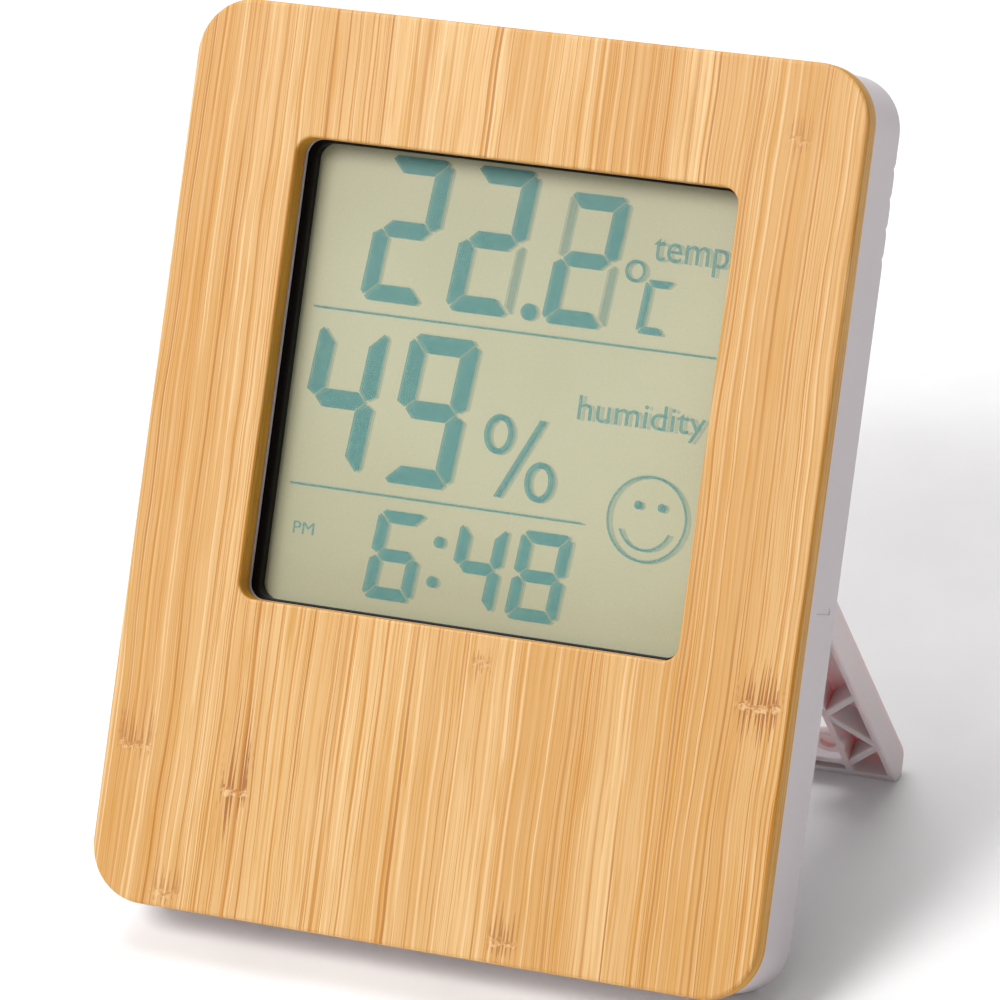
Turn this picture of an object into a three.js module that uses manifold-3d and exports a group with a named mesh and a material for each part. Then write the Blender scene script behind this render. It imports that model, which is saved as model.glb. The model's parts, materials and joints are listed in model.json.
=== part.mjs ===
// Desk weather station: bamboo front plate, slim plastic case, LCD, coin cell and fold-out stand.
// Units are millimetres. The case is modelled upright and then leaned back onto its heel and its open stand.
// Case frame: X to the viewer's right, Y from the plate's front face to the back, Z up, origin mid plate.
import * as THREE from "three";
import { mergeVertices } from "three/addons/utils/BufferGeometryUtils.js";
import Module from "manifold-3d";

const wasm = await Module();
wasm.setup();

// ---- driving dimensions ----
const PLATE = { width: 95, height: 119, corner: 7.6, thick: 2.7 };
const WINDOW = { half: 31.25, bottom: -17.95, top: 42.5, corner: 2.2 };
const TAPE = { front: 2.8, rear: 3.0, inset: 1.6 };
const CASE = { inset: 0.52, corner: 7.1, front: 3.1, rear: 12.5, wall: 1.5, back: 1.5 };
const FRAME = { rear: 4.4, lip: 0.5, gap: 0.2 };
const BEZEL = { half: 33.2, lap: 2.0, side: 1.1, end: 0.3, front: 3.8, rear: 5.2 };
const GLASS = { half: 32.5, bottom: -19.5, film: 31.8, ledge: 46, rearTop: 43 };
const BOARD = { half: 43, bottom: 1.5, top: 47, front: 7.9, rear: 8.9, corner: 1.5 };
const GRIP = { radius: 3.0, depth: 0.7, first: 36.1, pitch: 3.85, count: 4 };
const CELL = { x: 22, z: 16, radius: 10, front: 8.8, rear: 11.3, lid: 9.2, step: 0.3 };
const DOOR = { radius: 12, lug: 13.1, thick: 1.0, sunk: 0.05, gap: 0.2 };
const DOOR_TURN = { openDeg: 60, lugDeg: 36, notchDeg: 42 };
const BUTTON = { radius: 3.1, flange: 3.9, stem: 1.2, z: 16, firstX: -38, pitch: 11, gap: 1, proud: 0.4 };
const PIVOT = { y: 8.8, z: -6.3, openDeg: 58.4 };
const STAND = { half: 45, depth: 4.5, outer: 3.5, skin: 1.2, hub: 2.6, headTop: 2, headCut: 0.6 };
const LEG = { inner: 38.1, wall: 1.0, innerWall: 1.0, reach: 46.8, bar: 42.2, head: 8, endWall: 2.2 };
const POCKET = { gap: 0.4, floor: 5.8, wall: 1.1, middleFloor: 8.7, step: -21.6, bottom: -53.6, top: -2.1 };
const PIN = { radius: 1.7, hole: 1.85, length: 0.9, gap: 0.3 };
const RIB = { height: 3.3, thick: 1.1, mid: 0.75, half: 6.15, last: 37.3, bite: 0.4, ease: 0.4 };
const TOE = { rise: 1.3, tip: 0.3, underside: 0.1, corner: 0.6, slope: 1.7, side: 3.2 };
const BOSS = { x: 37.1, reach: 38, radius: 2.4, low: -1, thick: 1.2, bore: 1.1, skin: 0.6 };
const VENT = { x0: 38.8, x1: 43.2, first: 10, pitch: 4, count: 5, half: 0.7 };
const ZEBRA = { half: 30, front: 6.45, rear: 7.8, bottom: 43.8, top: 45.4 };
const CHIP = { x: -21.5, z: 34, radius: 5, height: 1.4, sides: 20 };
const CRYSTAL = { x0: -9, x1: -3, z: 34, radius: 0.9 };
const HUMIDITY = { x: 40.5, z: 16.5, halfX: 1.9, halfZ: 2.5, height: 1.2, port: 0.9, portDepth: 0.4 };
const BEAD = { x: 40.5, z: 24, radius: 1 };
const CAPACITOR = { x: 0, z: 42, radius: 2, height: 1.8 };
const DOME = { radius: 2.6, height: 0.35 };
const FLOOR_TRIM = 0.5;
const ARC_STEPS = 6;
const ROUND_SIDES = 28;
const FINE_SIDES = 40;
const SMALL_SIDES = 16;
const THIN = 0.1;
const CLEAR = 0.25;

const CASE_HALF = PLATE.width / 2 - CASE.inset;
const CASE_END = PLATE.height / 2 - CASE.inset;
const WALL_IN = CASE_HALF - CASE.wall;
const BACK_IN = CASE.rear - CASE.back;
const RAD = Math.PI / 180;

// ---- solids: shapes come from three.js, cuts and joins from the boolean library ----
function solid(geometry) {
  const bare = geometry.index ? geometry.toNonIndexed() : geometry.clone();
  bare.deleteAttribute("normal");
  bare.deleteAttribute("uv");
  const merged = mergeVertices(bare, 1e-4);
  return new wasm.Manifold(
    new wasm.Mesh({
      numProp: 3,
      vertProperties: merged.attributes.position.array,
      triVerts: new Uint32Array(merged.index.array),
    }),
  );
}

function geometryOf(made) {
  const mesh = made.getMesh();
  const geometry = new THREE.BufferGeometry();
  geometry.setAttribute("position", new THREE.BufferAttribute(mesh.vertProperties, 3));
  geometry.setIndex(new THREE.BufferAttribute(mesh.triVerts, 1));
  return geometry;
}

const join = (...parts) => parts.flat().reduce((all, next) => all.add(next));
const cut = (body, ...tools) => tools.flat().reduce((left, tool) => left.subtract(tool), body);

// A rounded rectangle in X and Z.
function roundedRect(x0, z0, x1, z1, r) {
  const outline = new THREE.Shape();
  outline.absarc(x1 - r, z1 - r, r, 0, Math.PI / 2);
  outline.absarc(x0 + r, z1 - r, r, Math.PI / 2, Math.PI);
  outline.absarc(x0 + r, z0 + r, r, Math.PI, 1.5 * Math.PI);
  outline.absarc(x1 - r, z0 + r, r, 1.5 * Math.PI, 2 * Math.PI);
  outline.closePath();
  return outline;
}

// An outline in X and Z made solid between two depths.
function slab(outline, front, rear) {
  const depth = rear - front;
  const made = new THREE.ExtrudeGeometry(outline, { depth, bevelEnabled: false, curveSegments: ARC_STEPS });
  return solid(made.rotateX(Math.PI / 2).translate(0, rear, 0));
}

function block(x0, x1, y0, y1, z0, z1) {
  const made = new THREE.BoxGeometry(x1 - x0, y1 - y0, z1 - z0);
  return solid(made.translate((x0 + x1) / 2, (y0 + y1) / 2, (z0 + z1) / 2));
}

// A round piece along the depth.
function disc(x, z, radius, front, rear, sides = ROUND_SIDES) {
  const made = new THREE.CylinderGeometry(radius, radius, rear - front, sides);
  return solid(made.translate(x, (front + rear) / 2, z));
}

// A round bar across the width.
function crossBar(x0, x1, y, z, radius, sides = ROUND_SIDES) {
  const made = new THREE.CylinderGeometry(radius, radius, x1 - x0, sides);
  return solid(made.rotateZ(Math.PI / 2).translate((x0 + x1) / 2, y, z));
}

// A side outline in Y and Z made solid across the width.
function sidePlate(outline, x0, x1) {
  const made = new THREE.ExtrudeGeometry(outline, {
    depth: x1 - x0,
    bevelEnabled: false,
    curveSegments: ARC_STEPS,
  });
  const toWidth = new THREE.Matrix4().makeBasis(
    new THREE.Vector3(0, 1, 0),
    new THREE.Vector3(0, 0, 1),
    new THREE.Vector3(1, 0, 0),
  );
  return solid(made.applyMatrix4(toWidth).translate(x0, 0, 0));
}

// ---- finishes ----
const FINISH = {
  bamboo: { color: 0xe4b878, roughness: 0.55, metalness: 0 },
  tape: { color: 0xd8d4c8, roughness: 0.8, metalness: 0 },
  whitePlastic: { color: 0xe6e1e2, roughness: 0.45, metalness: 0 },
  blackPlastic: { color: 0x101011, roughness: 0.4, metalness: 0 },
  film: { color: 0xb9b79c, roughness: 0.35, metalness: 0 },
  glass: { color: 0xc9d2c4, roughness: 0.08, metalness: 0 },
  rubber: { color: 0x2b2b2d, roughness: 0.8, metalness: 0 },
  board: { color: 0x1f6b3a, roughness: 0.5, metalness: 0 },
  epoxy: { color: 0x0c0c0d, roughness: 0.3, metalness: 0 },
  steel: { color: 0xb7b9bc, roughness: 0.3, metalness: 1 },
  spring: { color: 0xcfc6a8, roughness: 0.25, metalness: 1 },
  sensor: { color: 0xf0efe9, roughness: 0.4, metalness: 0 },
};

function part(name, made, finish) {
  const mesh = new THREE.Mesh(geometryOf(made), new THREE.MeshStandardMaterial(FINISH[finish]));
  mesh.name = name;
  return mesh;
}

// ---- front plate and its tape ----
function centredRect(halfX, halfZ, corner) {
  return roundedRect(-halfX, -halfZ, halfX, halfZ, corner);
}

function windowHole(grow, front, rear) {
  const { half, bottom, top, corner } = WINDOW;
  return slab(roundedRect(-half - grow, bottom - grow, half + grow, top + grow, corner), front, rear);
}

function frontPlate() {
  const board = slab(centredRect(PLATE.width / 2, PLATE.height / 2, PLATE.corner), 0, PLATE.thick);
  return cut(board, windowHole(0, -1, PLATE.thick + 1));
}

function tapeSheet() {
  const halfX = PLATE.width / 2 - TAPE.inset;
  const halfZ = PLATE.height / 2 - TAPE.inset;
  const sheet = slab(centredRect(halfX, halfZ, PLATE.corner - TAPE.inset), TAPE.front, TAPE.rear);
  return cut(sheet, windowHole(TAPE.inset, TAPE.front - 1, TAPE.rear + 1));
}

// ---- front frame: the flat plate behind the bamboo, with the pillars that take the screws ----
const CASE_SCREWS = [
  { x: -40, z: 52.5 },
  { x: 40, z: 52.5 },
];
const FLOOR_SCREWS = [
  { x: -28, z: -34 },
  { x: 28, z: -34 },
];
const BOARD_SCREWS = [
  { x: -38.5, z: 5.5 },
  { x: 38.5, z: 5.5 },
  { x: -38.5, z: 42.5 },
  { x: 38.5, z: 42.5 },
];
const PILOT = 0.95;
const SHANK = 0.85;
const PILLAR = { radius: 2.3, rear: 10.8 };
const POST = { radius: 1.9, rear: 7.8 };
const PILOT_FRONT = 3.6;
const SEAT = { radius: 2.3, front: 11.5 };

function frontFrame() {
  const { rear, lip, gap } = FRAME;
  const outline = centredRect(WALL_IN - gap, CASE_END - CASE.wall - gap, CASE.corner - CASE.wall);
  const rebate = BEZEL.lap + gap;
  const pillars = CASE_SCREWS.map(({ x, z }) => disc(x, z, PILLAR.radius, rear - THIN, PILLAR.rear));
  const posts = BOARD_SCREWS.map(({ x, z }) => disc(x, z, POST.radius, rear - THIN, POST.rear));
  const pilots = [...CASE_SCREWS, ...FLOOR_SCREWS, ...BOARD_SCREWS].map(({ x, z }) =>
    disc(x, z, PILOT, PILOT_FRONT, CASE.rear, SMALL_SIDES),
  );
  return cut(
    join(slab(outline, CASE.front, rear), pillars, posts),
    windowHole(0, 0, CASE.rear),
    windowHole(rebate, CASE.front + lip, CASE.rear),
    pilots,
  );
}

// ---- display stack ----
function displayBezel() {
  const { half, lap, side, end, front, rear } = BEZEL;
  const ring = slab(
    roundedRect(-half, WINDOW.bottom - lap, half, WINDOW.top + lap, WINDOW.corner),
    front,
    rear,
  );
  const sight = WINDOW.half - side;
  const hole = roundedRect(-sight, WINDOW.bottom + end, sight, WINDOW.top - end, WINDOW.corner);
  return cut(ring, slab(hole, front - 1, rear + 1));
}

function sheetPart(half, bottom, top, front, thick) {
  return block(-half, half, front, front + thick, bottom, top);
}

function zebraStrip() {
  const { half, front, rear, bottom, top } = ZEBRA;
  return block(-half, half, front, rear, bottom, top);
}

const STACK = { polarizer: 5.35, film: 0.2, frontGlass: 5.65, rearGlass: 6.45, glass: 0.7, reflector: 7.25 };
const REFLECTOR_THICK = 0.15;
const FILM_INSET = 0.5;

function displayParts() {
  const { half, bottom, film, ledge, rearTop } = GLASS;
  const filmBottom = bottom + FILM_INSET;
  const filmTop = rearTop - FILM_INSET;
  return [
    part("display_bezel", displayBezel(), "blackPlastic"),
    part("lcd_front_polarizer", sheetPart(film, filmBottom, filmTop, STACK.polarizer, STACK.film), "film"),
    part("lcd_front_glass", sheetPart(half, bottom, ledge, STACK.frontGlass, STACK.glass), "glass"),
    part("lcd_rear_glass", sheetPart(half, bottom, rearTop, STACK.rearGlass, STACK.glass), "glass"),
    part("lcd_reflector", sheetPart(film, filmBottom, filmTop, STACK.reflector, REFLECTOR_THICK), "film"),
    part("zebra_connector", zebraStrip(), "rubber"),
  ];
}

// ---- circuit board and what is soldered to it ----
const CUP = { bore: 10.8, outer: 11.8, floorFront: 7.6, floorRear: 8.1, flange: 15, flangeFront: 10.1 };
const COMPONENT_FRONT = BOARD.rear + THIN; // solder lifts each component off the board
const BUTTON_NAMES = ["mode", "up", "down", "unit"];
const buttonX = (index) => BUTTON.firstX + index * BUTTON.pitch + (index > 0 ? BUTTON.gap : 0);

function circuitBoard() {
  const { half, bottom, top, front, rear, corner } = BOARD;
  const sheet = slab(roundedRect(-half, bottom, half, top, corner), front, rear);
  const holes = BOARD_SCREWS.map(({ x, z }) => disc(x, z, SHANK + CLEAR, front - 1, rear + 1, SMALL_SIDES));
  return cut(sheet, holes, disc(CELL.x, CELL.z, CUP.outer + 0.4, front - 1, rear + 1));
}

function epoxyBlob() {
  const { x, z, radius, height, sides } = CHIP;
  const sphere = (radius * radius + height * height) / (2 * height);
  const profile = [new THREE.Vector2(0, 0)];
  profile.push(new THREE.Vector2(radius, 0));
  for (let step = 1; step < ARC_STEPS; step += 1) {
    const out = radius * (1 - step / ARC_STEPS);
    profile.push(new THREE.Vector2(out, Math.sqrt(sphere * sphere - out * out) - sphere + height));
  }
  profile.push(new THREE.Vector2(0, height));
  return solid(new THREE.LatheGeometry(profile, sides).translate(x, COMPONENT_FRONT, z));
}

function crystalCan() {
  const { x0, x1, z, radius } = CRYSTAL;
  return crossBar(x0, x1, COMPONENT_FRONT + radius, z, radius, SMALL_SIDES);
}

function humiditySensor() {
  const { x, z, halfX, halfZ, height, port, portDepth } = HUMIDITY;
  const top = COMPONENT_FRONT + height;
  const body = block(x - halfX, x + halfX, COMPONENT_FRONT, top, z - halfZ, z + halfZ);
  return cut(body, disc(x, z, port, top - portDepth, top + 1, SMALL_SIDES));
}

function thermistorBead() {
  const { x, z, radius } = BEAD;
  const bead = new THREE.SphereGeometry(radius, SMALL_SIDES, SMALL_SIDES / 2);
  return solid(bead.translate(x, COMPONENT_FRONT + radius, z));
}

function bufferCapacitor() {
  const { x, z, radius, height } = CAPACITOR;
  return disc(x, z, radius, COMPONENT_FRONT, COMPONENT_FRONT + height);
}

function domeSwitch(x) {
  return disc(x, BUTTON.z, DOME.radius, COMPONENT_FRONT, COMPONENT_FRONT + DOME.height);
}

function boardParts() {
  const domes = BUTTON_NAMES.map((name, i) => part(`${name}_dome_switch`, domeSwitch(buttonX(i)), "spring"));
  return [
    part("circuit_board", circuitBoard(), "board"),
    part("controller_chip", epoxyBlob(), "epoxy"),
    part("clock_crystal", crystalCan(), "steel"),
    part("humidity_sensor", humiditySensor(), "sensor"),
    part("thermistor", thermistorBead(), "epoxy"),
    part("buffer_capacitor", bufferCapacitor(), "steel"),
    ...domes,
  ];
}

// ---- buttons: a domed cap, a flange that keeps it in, and a stem over the dome switch ----
function buttonPiece(x) {
  const capFront = 10.85;
  const flangeFront = 10.3;
  const stemFront = 9.95;
  return join(
    disc(x, BUTTON.z, BUTTON.stem, stemFront, flangeFront + THIN, SMALL_SIDES),
    disc(x, BUTTON.z, BUTTON.flange, flangeFront, capFront),
    disc(x, BUTTON.z, BUTTON.radius, capFront - THIN, CASE.rear + BUTTON.proud),
  );
}

// ---- coin cell, its two contacts and its quarter-turn door ----
function coinCell() {
  const { x, z, radius, front, rear, lid, step } = CELL;
  return join(
    disc(x, z, lid, front, front + step + THIN, FINE_SIDES),
    disc(x, z, radius, front + step, rear, FINE_SIDES),
  );
}

const STRIP = { halfX: 7, halfZ: 2, thick: 0.2, padX: 2.5, padZ: 1.5 };
const BLADE = { half: 1.6, thick: 0.3, rear: 10.8, gap: 0.15 };

function negativeContact() {
  const { halfX, halfZ, thick, padX, padZ } = STRIP;
  const { x, z } = CELL;
  const front = CUP.floorRear + THIN;
  return join(
    block(x - halfX, x + halfX, front, front + thick, z - halfZ, z + halfZ),
    block(x - padX, x + padX, front + thick / 2, CELL.front - THIN, z - padZ, z + padZ),
  );
}

function positiveContact() {
  const { half, thick, rear, gap } = BLADE;
  const inner = CELL.z + CELL.radius + gap;
  return block(CELL.x - half, CELL.x + half, CUP.floorRear + THIN, rear, inner, inner + thick);
}

// A ring segment about the cell's axis, centred on an angle from +X.
function ringArc(inner, outer, midDeg, spanDeg, front, rear) {
  const from = (midDeg - spanDeg / 2) * RAD;
  const to = (midDeg + spanDeg / 2) * RAD;
  const outline = new THREE.Shape();
  outline.absarc(0, 0, outer, from, to, false);
  outline.absarc(0, 0, inner, to, from, true);
  outline.closePath();
  return slab(outline, front, rear).translate([CELL.x, 0, CELL.z]);
}

const GROOVE = { front: 10.9, rear: 11.7, radius: 13.4 };
const RIM = { front: 11.0, gap: 0.3 };
const COIN_SLOT = { half: 6, halfWidth: 0.9, depth: 0.5 };
const LUG = { bite: 0.5, front: 0.05, rear: 0.15 };

function batteryDoor() {
  const { x, z } = CELL;
  const { radius, lug, thick, sunk } = DOOR;
  const { half, halfWidth, depth } = COIN_SLOT;
  const rear = CASE.rear - sunk;
  const plate = disc(x, z, radius, rear - thick, rear, FINE_SIDES);
  const rim = cut(
    disc(x, z, radius, RIM.front, rear - thick + THIN, FINE_SIDES),
    disc(x, z, CUP.bore + RIM.gap, RIM.front - 1, rear, FINE_SIDES),
  );
  const lugs = [0, 180].map((mid) =>
    ringArc(radius - LUG.bite, lug, mid, DOOR_TURN.lugDeg, RIM.front + LUG.front, GROOVE.rear - LUG.rear),
  );
  const slot = block(x - half, x + half, rear - depth, rear + 1, z - halfWidth, z + halfWidth);
  return cut(join(plate, rim, lugs), slot);
}

// ---- back cover: a deep tray with the stand's pocket, the battery cup, grip, vents and button holes ----
function pocketBlocks() {
  const { floor, wall, middleFloor, step, bottom, top } = POCKET;
  const side = WALL_IN + THIN;
  const rear = BACK_IN + THIN;
  const channelIn = LEG.inner - POCKET.gap - wall;
  return join(
    block(-side, side, floor - wall, rear, bottom - wall, step + wall),
    block(-side, side, middleFloor - wall, rear, step, top + wall),
    block(-side, -channelIn, floor - wall, rear, step, top + wall),
    block(channelIn, side, floor - wall, rear, step, top + wall),
  );
}

function pocketSpace() {
  const { gap, floor, middleFloor, step, bottom, top } = POCKET;
  const side = STAND.half + gap;
  const channelIn = LEG.inner - gap;
  const rear = CASE.rear + 1;
  return join(
    block(-side, side, floor, rear, bottom, step),
    block(-side, side, middleFloor, rear, step - THIN, top),
    block(-side, -channelIn, floor, rear, step - THIN, top),
    block(channelIn, side, floor, rear, step - THIN, top),
  );
}

// Valleys across the back, with a round bead left standing on each side of every valley.
function gripCutters() {
  const side = PLATE.width / 2;
  const half = GRIP.pitch / 2;
  const bead = (z) => crossBar(-side - 1, side + 1, CASE.rear - GRIP.radius, z, GRIP.radius, FINE_SIDES);
  const valleys = [];
  for (let row = 0; row < GRIP.count; row += 1) {
    for (const z of [GRIP.first + row * GRIP.pitch, -GRIP.first - row * GRIP.pitch]) {
      const valley = block(-side, side, CASE.rear - GRIP.depth, CASE.rear + 1, z - half, z + half);
      valleys.push(cut(valley, bead(z - half), bead(z + half)));
    }
  }
  return valleys;
}

function ventCutters() {
  const { x0, x1, first, pitch, count, half } = VENT;
  const slots = [];
  for (let row = 0; row < count; row += 1) {
    const z = first + row * pitch;
    slots.push(block(x0, x1, BACK_IN - 1, CASE.rear + 1, z - half, z + half));
  }
  return slots;
}

function batteryCup() {
  const { x, z } = CELL;
  return join(
    disc(x, z, CUP.outer, CUP.floorFront, BACK_IN + THIN, FINE_SIDES),
    disc(x, z, CUP.flange, CUP.flangeFront, BACK_IN + THIN, FINE_SIDES),
  );
}

function batteryCutters() {
  const { x, z } = CELL;
  const out = CASE.rear + 1;
  const notches = [0, 180].map((mid) =>
    ringArc(CUP.bore, GROOVE.radius, mid + DOOR_TURN.openDeg, DOOR_TURN.notchDeg, GROOVE.front, out),
  );
  return [
    disc(x, z, CUP.bore, CUP.floorRear, out, FINE_SIDES),
    disc(x, z, GROOVE.radius, GROOVE.front, GROOVE.rear, FINE_SIDES),
    disc(x, z, DOOR.radius + DOOR.gap, GROOVE.front, out, FINE_SIDES),
    ...notches,
  ];
}

function screwCutters() {
  const out = CASE.rear + 1;
  const bore = SHANK + CLEAR;
  const sunk = CASE_SCREWS.map(({ x, z }) =>
    join(disc(x, z, bore, BACK_IN - 1, out, SMALL_SIDES), disc(x, z, SEAT.radius, SEAT.front, out)),
  );
  const through = FLOOR_SCREWS.map(({ x, z }) => disc(x, z, bore, CASE.front, POCKET.floor + 1, SMALL_SIDES));
  return [...sunk, ...through];
}

function backCover() {
  const shell = slab(centredRect(CASE_HALF, CASE_END, CASE.corner), CASE.front, CASE.rear);
  const cavity = slab(
    centredRect(WALL_IN, CASE_END - CASE.wall, CASE.corner - CASE.wall),
    CASE.front - 1,
    BACK_IN,
  );
  const pinStart = STAND.half - 1;
  const pinEnd = STAND.half + PIN.length + PIN.gap;
  const buttonHoles = BUTTON_NAMES.map((_, i) =>
    disc(buttonX(i), BUTTON.z, BUTTON.radius + CLEAR, BACK_IN - 1, CASE.rear + 1),
  );
  return cut(
    join(cut(shell, cavity), pocketBlocks(), batteryCup()),
    pocketSpace(),
    crossBar(pinStart, pinEnd, PIVOT.y, PIVOT.z, PIN.hole),
    crossBar(-pinEnd, -pinStart, PIVOT.y, PIVOT.z, PIN.hole),
    gripCutters(),
    ventCutters(),
    batteryCutters(),
    screwCutters(),
    buttonHoles,
  );
}

// ---- stand: its own frame has the pivot at the origin, Y out of the back and -Z down the leg ----
function standOutline() {
  const { outer, depth, hub, headTop } = STAND;
  const { reach } = LEG;
  const inner = outer - depth;
  const tangent = Math.PI + Math.asin(Math.sqrt(1 - (inner / hub) ** 2));
  const outline = new THREE.Shape();
  outline.moveTo(outer, headTop);
  outline.lineTo(0, hub);
  outline.absarc(0, 0, hub, Math.PI / 2, tangent, false);
  outline.lineTo(inner, TOE.rise - reach);
  outline.quadraticCurveTo(inner + TOE.underside, TOE.corner - reach, TOE.tip, -reach);
  outline.lineTo(outer - TOE.corner, TOE.slope - reach);
  outline.quadraticCurveTo(outer, TOE.slope + TOE.corner - reach, outer, TOE.side - reach);
  outline.closePath();
  return outline;
}

// A straight rib in the leg's channel between two points given by width and reach.
function rib(x0, reach0, x1, reach1) {
  const length = Math.hypot(x1 - x0, reach1 - reach0);
  const made = new THREE.BoxGeometry(length, RIB.height, RIB.thick);
  made.rotateY(Math.atan2(reach1 - reach0, x1 - x0));
  return solid(made.translate((x0 + x1) / 2, RIB.mid, -(reach0 + reach1) / 2));
}

function legRibs(side) {
  const { half, last, bite, ease } = RIB;
  const near = side * (LEG.inner + LEG.innerWall - bite);
  const far = side * (STAND.half - LEG.wall + bite);
  const ribs = [];
  for (let reach = last; reach > 2 * half; reach -= 2 * half) {
    ribs.push(rib(far, reach, near, reach - half));
    ribs.push(rib(far, reach, near, reach + half - ease));
  }
  return ribs;
}

function standPiece() {
  const { half, outer, skin, hub, headCut } = STAND;
  const { inner, wall, innerWall, reach, bar, head, endWall } = LEG;
  const low = -hub - 1;
  const under = outer - skin;
  const above = hub + 1;
  const toeWall = endWall - reach;
  const flange = inner + innerWall;
  const hollows = [
    block(-inner, inner, low, outer + 1, -bar, -head),
    block(flange, half - wall, low, under, toeWall, above),
    block(wall - half, -flange, low, under, toeWall, above),
    block(-inner, inner, low, under, toeWall, -bar - innerWall),
    block(-flange, flange, low, under, -head - THIN, above),
    block(-flange, flange, low, outer + 1, headCut, above),
  ];
  const bossRear = BOSS.low + BOSS.thick;
  const boss = (x) => disc(x, -BOSS.reach, BOSS.radius, BOSS.low, bossRear);
  const bossHole = (x) => disc(x, -BOSS.reach, BOSS.bore, low, bossRear - BOSS.skin, SMALL_SIDES);
  return cut(
    join(
      cut(sidePlate(standOutline(), -half, half), hollows),
      legRibs(1),
      legRibs(-1),
      boss(BOSS.x),
      boss(-BOSS.x),
      crossBar(half - THIN, half + PIN.length, 0, 0, PIN.radius),
      crossBar(-half - PIN.length, THIN - half, 0, 0, PIN.radius),
    ),
    bossHole(BOSS.x),
    bossHole(-BOSS.x),
  );
}

// ---- fasteners ----
const CASE_HEAD = { radius: 2.0, front: 11.6, rear: 12.4, tip: 6 };
const FLOOR_HEAD = { radius: 1.9, front: POCKET.floor + THIN, rear: POCKET.floor + 1.1, tip: 3.8 };
const BOARD_HEAD = { radius: 1.7, front: COMPONENT_FRONT, rear: COMPONENT_FRONT + 0.9, tip: 5 };
const CROSS = { long: 1.1, short: 0.25, depth: 0.5 };

function screw(x, z, head) {
  const { long, short, depth } = CROSS;
  const slotFront = head.rear - depth;
  const slotRear = head.rear + 1;
  return cut(
    join(
      disc(x, z, head.radius, head.front, head.rear, SMALL_SIDES),
      disc(x, z, SHANK, head.tip, head.front + THIN, SMALL_SIDES),
    ),
    block(x - long, x + long, slotFront, slotRear, z - short, z + short),
    block(x - short, x + short, slotFront, slotRear, z - long, z + long),
  );
}

function fasteners() {
  const upper = CASE_SCREWS.map(({ x, z }) => screw(x, z, CASE_HEAD));
  const lower = FLOOR_SCREWS.map(({ x, z }) => screw(x, z, FLOOR_HEAD));
  const board = BOARD_SCREWS.map(({ x, z }) => screw(x, z, BOARD_HEAD));
  return [
    ...[...upper, ...lower].map((made, i) => part(`case_screw_${i + 1}`, made, "steel")),
    ...board.map((made, i) => part(`board_screw_${i + 1}`, made, "steel")),
  ];
}

// ---- assembly ----
// The foot's lowest corner, in the case frame, with the stand open.
function footCorner() {
  const foot = new THREE.Vector3(0, TOE.tip, -LEG.reach);
  foot.applyAxisAngle(new THREE.Vector3(1, 0, 0), PIVOT.openDeg * RAD);
  return foot.add(new THREE.Vector3(0, PIVOT.y, PIVOT.z));
}

// The case leans until its heel and the foot stand on one plane.
function leanAngle() {
  const foot = footCorner();
  return Math.atan2(foot.z + CASE_END, foot.y - CASE.rear);
}

// Shaves a solid flat where it would reach below the surface that the object stands on.
function flatFoot(made, toWorld) {
  const ground = new THREE.BoxGeometry(4 * PLATE.width, 4 * PLATE.height, PLATE.height);
  ground.translate(0, 0, -PLATE.height / 2);
  return made.subtract(solid(ground.applyMatrix4(toWorld.clone().invert())));
}

function assemble() {
  const lean = leanAngle();
  const caseGroup = new THREE.Group();
  const standGroup = new THREE.Group();
  caseGroup.rotation.x = -lean;
  caseGroup.position.z = CASE.rear * Math.sin(lean) + CASE_END * Math.cos(lean) - FLOOR_TRIM;
  caseGroup.add(standGroup);
  standGroup.rotation.x = PIVOT.openDeg * RAD;
  standGroup.position.set(0, PIVOT.y, PIVOT.z);
  caseGroup.updateMatrixWorld(true);

  standGroup.add(part("stand", flatFoot(standPiece(), standGroup.matrixWorld), "whitePlastic"));
  caseGroup.add(
    part("bamboo_front_plate", frontPlate(), "bamboo"),
    part("adhesive_sheet", tapeSheet(), "tape"),
    part("front_frame", frontFrame(), "whitePlastic"),
    ...displayParts(),
    ...boardParts(),
    ...BUTTON_NAMES.map((name, i) => part(`${name}_button`, buttonPiece(buttonX(i)), "whitePlastic")),
    part("coin_cell", coinCell(), "steel"),
    part("negative_contact", negativeContact(), "spring"),
    part("positive_contact", positiveContact(), "spring"),
    part("battery_door", batteryDoor(), "whitePlastic"),
    part("back_cover", flatFoot(backCover(), caseGroup.matrixWorld), "whitePlastic"),
    ...fasteners(),
  );

  const root = new THREE.Group();
  root.add(caseGroup);
  root.updateMatrixWorld(true);
  const box = new THREE.Box3().setFromObject(root, true);
  caseGroup.position.y -= (box.min.y + box.max.y) / 2;
  return root;
}

export default assemble();
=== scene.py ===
"""Looks of the desk weather station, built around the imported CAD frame.

Lengths are millimetres in the case's own frame (X right, Y from the plate's front to the back, Z up the
case) until a piece is placed; Blender's unit is the metre."""

import json
import math

import bmesh
import bpy
from mathutils import Matrix, Vector


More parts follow.
